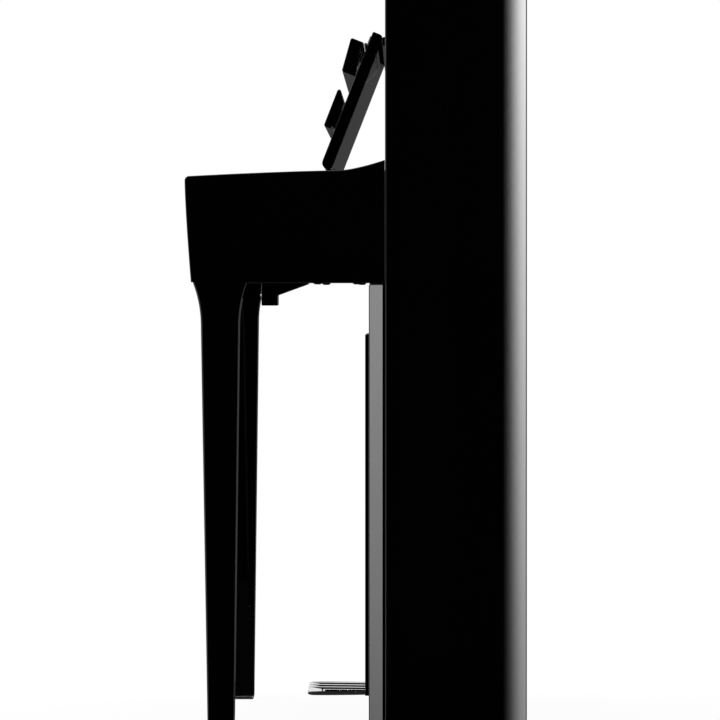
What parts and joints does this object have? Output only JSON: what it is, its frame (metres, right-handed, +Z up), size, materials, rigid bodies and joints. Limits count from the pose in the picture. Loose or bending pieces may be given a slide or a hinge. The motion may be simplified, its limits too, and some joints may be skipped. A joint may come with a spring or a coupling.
{
  "type": "hybrid upright piano",
  "caption": "Compact polished black upright hybrid piano with folding key lid, sprung keys and pedals, upswept arms and flared front legs.",
  "frame": {"origin": "on the floor under the centre of the piano's box", "axes": "+X to the treble end (the player's right), +Y to the back, +Z up"},
  "size_m": [1.501, 0.463, 1.024],
  "materials": {
    "polished_black": "black polished lacquer",
    "satin_black": "black satin lacquer",
    "key_white": "ivory-white satin key covering",
    "key_black": "matt black key covering",
    "chrome": "bright plated metal",
    "steel": "plain steel",
    "wood": "bare wood",
    "board_green": "green circuit board",
    "plastic": "black moulded plastic",
    "rubber": "black rubber",
    "window": "dark glossy window"
  },
  "bodies": {
    "casing": {"action_frame": "steel", "arm_bass": "polished_black", "arm_treble": "polished_black", "back_panel": "satin_black", "bottom_board": "satin_black", "control_panel": "plastic", "display_window": "window", "hammers": "wood", "headphone_box": "satin_black", "inlet_panel": "plastic", "key_block_bass": "polished_black", "key_block_treble": "polished_black", "key_frame": "wood", "key_sensor_board": "board_green", "key_slip": "polished_black", "keybed": "satin_black", "leg_bass": "polished_black", "leg_pad_bass": "rubber", "leg_pad_treble": "rubber", "leg_treble": "polished_black", "lid_hinge": "steel", "lid_rail": "polished_black", "lid_stop_rail": "rubber", "lower_front_board": "polished_black", "main_board": "board_green", "pedal_bracket": "steel", "pedal_panel": "polished_black", "side_panel_bass": "polished_black", "side_panel_treble": "polished_black", "top_board": "polished_black", "upper_front_panel": "polished_black", "woofer_bass": "plastic", "woofer_treble": "plastic"},
    "lid": {"key_lid": "polished_black", "lip_hinge": "steel", "ledge_hinge": "steel"},
    "lip": {"lid_lip": "polished_black"},
    "ledge": {"music_ledge": "polished_black"},
    "key_c_body": {"key_c": "key_white"},
    "key_d_body": {"key_d": "key_white"},
    "key_e_body": {"key_e": "key_white"},
    "key_f_body": {"key_f": "key_white"},
    "key_g_body": {"key_g": "key_white"},
    "key_a_body": {"key_a": "key_white"},
    "key_b_body": {"key_b": "key_white"},
    "key_c_sharp_body": {"key_c_sharp": "key_black"},
    "key_d_sharp_body": {"key_d_sharp": "key_black"},
    "key_f_sharp_body": {"key_f_sharp": "key_black"},
    "key_g_sharp_body": {"key_g_sharp": "key_black"},
    "key_a_sharp_body": {"key_a_sharp": "key_black"},
    "naturals_bass_body": {"naturals_bass": "key_white"},
    "naturals_treble_body": {"naturals_treble": "key_white"},
    "sharps_bass_body": {"sharps_bass": "key_black"},
    "sharps_treble_body": {"sharps_treble": "key_black"},
    "pedal_left_body": {"pedal_left": "chrome"},
    "pedal_middle_body": {"pedal_middle": "chrome"},
    "pedal_right_body": {"pedal_right": "chrome"},
    "power_button_body": {"power_button": "chrome"},
    "function_button_body": {"function_button": "plastic"},
    "volume_slider_body": {"volume_slider": "chrome"}
  },
  "joints": [
    {"name": "lid_swing", "type": "hinge", "parent": "casing", "child": "lid", "pos_m": [0, -0.0308, 0.7906], "axis": [1, 0, 0], "range_deg": [0, 113.5]},
    {"name": "lip_swing", "type": "hinge", "parent": "lid", "child": "lip", "pos_m": [0, 0.01267, 0.96292], "axis": [-1, 0, 0], "range_deg": [0, 90]},
    {"name": "ledge_swing", "type": "hinge", "parent": "lid", "child": "ledge", "pos_m": [0, -0.03288, 0.84888], "axis": [-1, 0, 0], "range_deg": [-90, 0]},
    {"name": "key_c_press", "type": "hinge", "parent": "casing", "child": "key_c_body", "pos_m": [0, 0.021, 0.7027], "axis": [1, 0, 0], "range_deg": [0, 2.6], "stiffness_Nm_per_rad": 1, "springref_deg": -8.59},
    {"name": "key_d_press", "type": "hinge", "parent": "casing", "child": "key_d_body", "pos_m": [0, 0.021, 0.7027], "axis": [1, 0, 0], "range_deg": [0, 2.6], "stiffness_Nm_per_rad": 1, "springref_deg": -8.59},
    {"name": "key_e_press", "type": "hinge", "parent": "casing", "child": "key_e_body", "pos_m": [0, 0.021, 0.7027], "axis": [1, 0, 0], "range_deg": [0, 2.6], "stiffness_Nm_per_rad": 1, "springref_deg": -8.59},
    {"name": "key_f_press", "type": "hinge", "parent": "casing", "child": "key_f_body", "pos_m": [0, 0.021, 0.7027], "axis": [1, 0, 0], "range_deg": [0, 2.6], "stiffness_Nm_per_rad": 1, "springref_deg": -8.59},
    {"name": "key_g_press", "type": "hinge", "parent": "casing", "child": "key_g_body", "pos_m": [0, 0.021, 0.7027], "axis": [1, 0, 0], "range_deg": [0, 2.6], "stiffness_Nm_per_rad": 1, "springref_deg": -8.59},
    {"name": "key_a_press", "type": "hinge", "parent": "casing", "child": "key_a_body", "pos_m": [0, 0.021, 0.7027], "axis": [1, 0, 0], "range_deg": [0, 2.6], "stiffness_Nm_per_rad": 1, "springref_deg": -8.59},
    {"name": "key_b_press", "type": "hinge", "parent": "casing", "child": "key_b_body", "pos_m": [0, 0.021, 0.7027], "axis": [1, 0, 0], "range_deg": [0, 2.6], "stiffness_Nm_per_rad": 1, "springref_deg": -8.59},
    {"name": "key_c_sharp_press", "type": "hinge", "parent": "casing", "child": "key_c_sharp_body", "pos_m": [0, 0.034, 0.7027], "axis": [1, 0, 0], "range_deg": [0, 2.6], "stiffness_Nm_per_rad": 0.8, "springref_deg": -8.59},
    {"name": "key_d_sharp_press", "type": "hinge", "parent": "casing", "child": "key_d_sharp_body", "pos_m": [0, 0.034, 0.7027], "axis": [1, 0, 0], "range_deg": [0, 2.6], "stiffness_Nm_per_rad": 0.8, "springref_deg": -8.59},
    {"name": "key_f_sharp_press", "type": "hinge", "parent": "casing", "child": "key_f_sharp_body", "pos_m": [0, 0.034, 0.7027], "axis": [1, 0, 0], "range_deg": [0, 2.6], "stiffness_Nm_per_rad": 0.8, "springref_deg": -8.59},
    {"name": "key_g_sharp_press", "type": "hinge", "parent": "casing", "child": "key_g_sharp_body", "pos_m": [0, 0.034, 0.7027], "axis": [1, 0, 0], "range_deg": [0, 2.6], "stiffness_Nm_per_rad": 0.8, "springref_deg": -8.59},
    {"name": "key_a_sharp_press", "type": "hinge", "parent": "casing", "child": "key_a_sharp_body", "pos_m": [0, 0.034, 0.7027], "axis": [1, 0, 0], "range_deg": [0, 2.6], "stiffness_Nm_per_rad": 0.8, "springref_deg": -8.59},
    {"name": "naturals_bass_press", "type": "hinge", "parent": "casing", "child": "naturals_bass_body", "pos_m": [0, 0.021, 0.7027], "axis": [1, 0, 0], "range_deg": [0, 2.6], "stiffness_Nm_per_rad": 23, "springref_deg": -8.59},
    {"name": "naturals_treble_press", "type": "hinge", "parent": "casing", "child": "naturals_treble_body", "pos_m": [0, 0.021, 0.7027], "axis": [1, 0, 0], "range_deg": [0, 2.6], "stiffness_Nm_per_rad": 22, "springref_deg": -8.59},
    {"name": "sharps_bass_press", "type": "hinge", "parent": "casing", "child": "sharps_bass_body", "pos_m": [0, 0.034, 0.7027], "axis": [1, 0, 0], "range_deg": [0, 2.6], "stiffness_Nm_per_rad": 12.8, "springref_deg": -8.59},
    {"name": "sharps_treble_press", "type": "hinge", "parent": "casing", "child": "sharps_treble_body", "pos_m": [0, 0.034, 0.7027], "axis": [1, 0, 0], "range_deg": [0, 2.6], "stiffness_Nm_per_rad": 12, "springref_deg": -8.59},
    {"name": "pedal_left_press", "type": "hinge", "parent": "casing", "child": "pedal_left_body", "pos_m": [-0.07, 0.08, 0.05125], "axis": [1, 0, 0], "range_deg": [0, 6.5], "stiffness_Nm_per_rad": 12, "springref_deg": -14.32},
    {"name": "pedal_middle_press", "type": "hinge", "parent": "casing", "child": "pedal_middle_body", "pos_m": [0, 0.08, 0.05125], "axis": [1, 0, 0], "range_deg": [0, 6.5], "stiffness_Nm_per_rad": 12, "springref_deg": -14.32},
    {"name": "pedal_right_press", "type": "hinge", "parent": "casing", "child": "pedal_right_body", "pos_m": [0.07, 0.08, 0.05125], "axis": [1, 0, 0], "range_deg": [0, 6.5], "stiffness_Nm_per_rad": 12, "springref_deg": -14.32},
    {"name": "power_button_press", "type": "slide", "parent": "casing", "child": "power_button_body", "axis": [0, 0, -1], "range_m": [0, 0.0012], "stiffness_N_per_m": 400, "springref_m": -0.001},
    {"name": "function_button_press", "type": "slide", "parent": "casing", "child": "function_button_body", "axis": [0, 0, -1], "range_m": [0, 0.0012], "stiffness_N_per_m": 400, "springref_m": -0.001},
    {"name": "volume_slide", "type": "slide", "parent": "casing", "child": "volume_slider_body", "axis": [0, 1, 0], "range_m": [-0.015, 0.015]}
  ]
}
